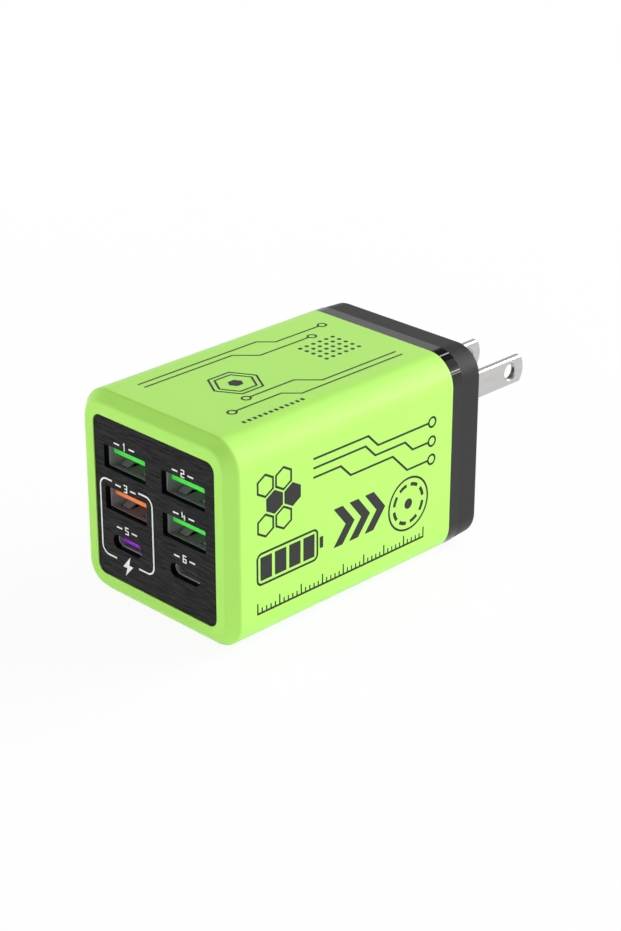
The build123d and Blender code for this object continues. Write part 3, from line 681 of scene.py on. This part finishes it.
layPrint("top_print", drawTop(topPrint), topFace, greyInk)

# Panel marks, in mm across the panel and up it
panelPrint = {
    "columns": (-9.0, 9.0),
    "rows": (36.1, 26.55, 16.75),  # feet of the numerals over each row of outlets
    "numeralHeight": 1.5,
    "numeralWidth": 0.85,
    "numeralLine": 0.27,
    "numerals": {  # strokes in shares of the width and the height
        1: (((0.2, 0.8), (0.6, 1.0), (0.6, -0.09)),),
        2: (((-0.1, 1.0), (1.0, 1.0), (1.0, 0.52), (0.0, 0.48), (0.0, 0.0), (1.15, 0.0)),),
        3: (((-0.1, 1.0), (1.0, 1.0), (1.0, 0.0), (-0.1, 0.0)), ((0.2, 0.5), (0.9, 0.5))),
        4: (((0.0, 1.09), (0.0, 0.4), (1.2, 0.4)), ((0.8, 0.75), (0.8, -0.09))),
        5: (((1.1, 1.0), (0.0, 1.0), (0.0, 0.52), (1.0, 0.48), (1.0, 0.0), (-0.1, 0.0)),),
        6: (((1.1, 1.0), (0.0, 1.0), (0.0, 0.0), (1.0, 0.0), (1.0, 0.52), (0.15, 0.52)),),
    },
    "dashLength": 1.7,
    "dashGap": 1.5,
    "dashWidth": 0.34,
    "bracketLine": 0.38,
    "bracket": (-17.1, -0.7, 9.9, 27.75),
    "bracketCorner": 2.0,
    "cornerSteps": 8,
    "topGap": (-13.3, -4.9),
    "bottomGap": (-12.6, -5.5),
    "bolt": ((-8.2, 11.6), (-10.6, 8.7), (-9.3, 8.7), (-9.9, 6.7), (-7.4, 9.5), (-8.7, 9.5)),
}


def drawPanel(values):
    lines = bmesh.new()
    low, high, bottom, top = values["bracket"]
    corner = values["bracketCorner"]
    steps = values["cornerSteps"]
    leftArm = [(values["topGap"][0], top),
               *arc((low + corner, top - corner), corner, 90, 180, steps),
               *arc((low + corner, bottom + corner), corner, 180, 270, steps),
               (values["bottomGap"][0], bottom)]
    rightArm = [(values["topGap"][1], top),
                *arc((high - corner, top - corner), corner, 90, 0, steps),
                *arc((high - corner, bottom + corner), corner, 0, -90, steps),
                (values["bottomGap"][1], bottom)]
    for arm in (leftArm, rightArm):
        addStroke(lines, arm, values["bracketLine"])
    addFill(lines, values["bolt"])
    places = [(x, z) for z in values["rows"] for x in values["columns"]]
    for x, z in places:
        for side in (-1, 1):
            inner = x + side * values["dashGap"]
            outer = inner + side * values["dashLength"]
            height = z + values["numeralHeight"] / 2
            addStroke(lines, [(inner, height), (outer, height)], values["dashWidth"])
    for number, (x, z) in enumerate(places, start=1):
        for stroke in values["numerals"][number]:
            points = [(x + (across - 0.5) * values["numeralWidth"], z + rise * values["numeralHeight"])
                      for across, rise in stroke]
            addStroke(lines, points, values["numeralLine"])
    return [raised(lines)]


layPrint("panel_print", drawPanel(panelPrint), panelFace, whiteInk)
print("print laid on the side, the top and the panel")


# Studio: floor, world and lamps

studio = {
    "floorSize": 6.0,  # m
    "floorDrop": 0.0002,  # m below the base face, so that the two don't share a plane
    "floorColour": "#F4F4F4",
    "floorGlow": 0.93,  # share of plain white that the camera sees in the floor; the rest keeps the shadow
    "shadowReach": (0.06, 0.32),  # m from the middle, where the floor goes over to plain white
    "horizon": 0.95,  # what a shiny surface mirrors
    "ambient": 0.5,  # what lights a matte surface
    "zenith": 0.10,
    "skyStart": 0.42,  # sine of the height where the white wall of the studio ends
    "skyEnd": 0.52,
}


def buildFloor(values):
    half = values["floorSize"] / 2
    sheet = bmesh.new()
    corners = rectangle(-half, -half, 2 * half, 2 * half)
    sheet.faces.new([sheet.verts.new((x, y, -values["floorDrop"])) for x, y in corners])
    mesh = bpy.data.meshes.new("floor")
    sheet.to_mesh(mesh)
    sheet.free()
    floor = bpy.data.objects.new("floor", mesh)
    scene.collection.objects.link(floor)
    material = bpy.data.materials.new("paper_floor_white")
    material.use_nodes = True
    tree = material.node_tree
    tree.nodes.clear()
    path = addNode(tree, "ShaderNodeLightPath").outputs
    seen = addNode(tree, "ShaderNodeMath", {
        0: path["Is Camera Ray"], 1: path["Is Glossy Ray"]}, operation="MAXIMUM")
    through = addNode(tree, "ShaderNodeMath", {
        0: seen.outputs[0], 1: path["Is Transmission Ray"]}, operation="MAXIMUM")
    place = addNode(tree, "ShaderNodeTexCoord").outputs["Object"]
    away = addNode(tree, "ShaderNodeVectorMath", {0: place}, operation="LENGTH")
    near, far = values["shadowReach"]
    glow = addNode(tree, "ShaderNodeMapRange", {
        "Value": away.outputs["Value"], "From Min": near, "From Max": far,
        "To Min": values["floorGlow"], "To Max": 1.0}, interpolation_type="SMOOTHSTEP")
    share = addNode(tree, "ShaderNodeMath", {
        0: through.outputs[0], 1: glow.outputs["Result"]}, operation="MULTIPLY")
    paper = addNode(tree, "ShaderNodeBsdfDiffuse", {"Color": linear(values["floorColour"])})
    white = addNode(tree, "ShaderNodeEmission", {"Color": (1, 1, 1, 1), "Strength": 1.0})
    mixed = addNode(tree, "ShaderNodeMixShader", {
        0: share.outputs[0], 1: paper.outputs[0], 2: white.outputs[0]})
    addNode(tree, "ShaderNodeOutputMaterial", {"Surface": mixed.outputs[0]})
    mesh.materials.append(material)


def buildWorld(values):
    world = bpy.data.worlds.new("studio")
    scene.world = world
    world.use_nodes = True
    tree = world.node_tree
    tree.nodes.clear()
    direction = addNode(tree, "ShaderNodeTexCoord").outputs["Generated"]
    height = addNode(tree, "ShaderNodeSeparateXYZ", {0: direction}).outputs["Z"]
    path = addNode(tree, "ShaderNodeLightPath").outputs
    wall = addNode(tree, "ShaderNodeMapRange", {
        "Value": path["Is Diffuse Ray"], "To Min": values["horizon"], "To Max": values["ambient"]})
    sky = addNode(tree, "ShaderNodeMapRange", {
        "Value": height, "From Min": values["skyStart"], "From Max": values["skyEnd"],
        "To Min": wall.outputs["Result"], "To Max": values["zenith"]}, interpolation_type="SMOOTHSTEP")
    strength = addNode(tree, "ShaderNodeMix", {
        0: path["Is Camera Ray"], 2: sky.outputs["Result"], 3: 1.0}, data_type="FLOAT")
    glow = addNode(tree, "ShaderNodeBackground", {"Color": (1, 1, 1, 1), "Strength": strength.outputs[0]})
    addNode(tree, "ShaderNodeOutputWorld", {"Surface": glow.outputs[0]})


lampRig = {
    # where each lamp stands as seen from the object, its distance in m, its size in m and its power in W
    "backKey": {
        "towards": (0.36, 0.79, 0.50), "distance": 1.6,
        "size": (1.0, 0.8), "power": 14.8, "inGloss": False},
    "rightKey": {
        "towards": (0.87, 0.47, 0.15), "distance": 1.6,
        "size": (0.4, 0.8), "power": 4.7, "inGloss": False},
    "topSoft": {
        "towards": (0.25, 0.10, 0.96), "distance": 1.6,
        "size": (1.0, 1.0), "power": 5.4, "inGloss": False},
    "leftLow": {
        "towards": (-0.86, -0.50, 0.10), "distance": 1.2,
        "size": (0.2, 0.8), "power": 6.0, "inGloss": False},
    "frontLow": {
        "towards": (0.34, -0.94, 0.10), "distance": 1.2,
        "size": (0.2, 0.6), "power": 3.7, "inGloss": False},
    # these show in shiny surfaces: a wide lamp in the satin ones, and in the polished band
    # a dim sheet between bright strips
    "backGloss": {
        "towards": (0.284, 0.875, 0.393), "distance": 1.6,
        "size": (1.0, 0.5), "power": 8.6, "inGloss": True},
    "edgeSheet": {
        "towards": (0.457, 0.642, 0.615), "distance": 1.4,
        "size": (0.72, 0.7), "power": 1.15, "inGloss": True},
    "streakHigh": {
        "towards": (-0.141, 0.642, 0.754), "distance": 1.4,
        "size": (0.08, 0.5), "power": 1.0, "inGloss": True},
    "streakLow": {
        "towards": (0.667, 0.642, 0.379), "distance": 1.3,
        "size": (0.085, 0.5), "power": 1.3, "inGloss": True},
    "streakFoot": {
        "towards": (0.716, 0.642, 0.275), "distance": 1.3,
        "size": (0.03, 0.5), "power": 0.6, "inGloss": True},
}


def buildLamps(rig):
    aim = (Vector(cadBox[0]) + Vector(cadBox[1])) / 2
    for name, values in rig.items():
        light = bpy.data.lights.new(name, "AREA")
        light.shape = "RECTANGLE"
        light.size, light.size_y = values["size"]
        light.energy = values["power"]
        lamp = bpy.data.objects.new(name, light)
        scene.collection.objects.link(lamp)
        towards = Vector(values["towards"]).normalized()
        across = Vector((0, 1, 0)).cross(towards).normalized()  # a strip lies thin across the body's length
        along = towards.cross(across)
        spot = aim + towards * values["distance"]
        lamp.matrix_world = faceMatrix(across, along, towards, spot)
        lamp.visible_camera = False
        lamp.visible_glossy = values["inGloss"]


buildFloor(studio)
buildWorld(studio)
buildLamps(lampRig)

view = {
    "aim": (0.0, 0.512, 23.5),  # mm
    "azimuth": 44.88,
    "elevation": 24.985,
    "roll": 0.084,
    "distance": 475.545,  # mm
    "slide": (-5.394, 0.208),  # mm, how far the aim lies off the middle of the frame
    "focalLength": 2191.437,  # in pixels of a picture that is 931 high
    "pictureHeight": 931,
    "sensor": 36.0,  # mm
    "clip": (0.01, 20.0),  # m
}


def buildCamera(values):
    a, e, r = (math.radians(values[k]) for k in ("azimuth", "elevation", "roll"))
    back = Vector((math.sin(a) * math.cos(e), -math.cos(a) * math.cos(e), math.sin(e)))
    level = Vector((math.cos(a), math.sin(a), 0))
    upright = back.cross(level)
    right = math.cos(r) * level + math.sin(r) * upright
    up = -math.sin(r) * level + math.cos(r) * upright
    slideRight, slideUp = values["slide"]
    spot = Vector(values["aim"]) + values["distance"] * back - slideRight * right - slideUp * up
    data = bpy.data.cameras.new("camera")
    data.sensor_width = values["sensor"]
    data.lens = values["sensor"] * values["focalLength"] / values["pictureHeight"]
    data.clip_start, data.clip_end = values["clip"]
    camera = bpy.data.objects.new("camera", data)
    scene.collection.objects.link(camera)
    camera.matrix_world = faceMatrix(right, up, back, spot * mm)
    scene.camera = camera


buildCamera(view)
scene.view_settings.view_transform = "Standard"
print("studio and camera ready")
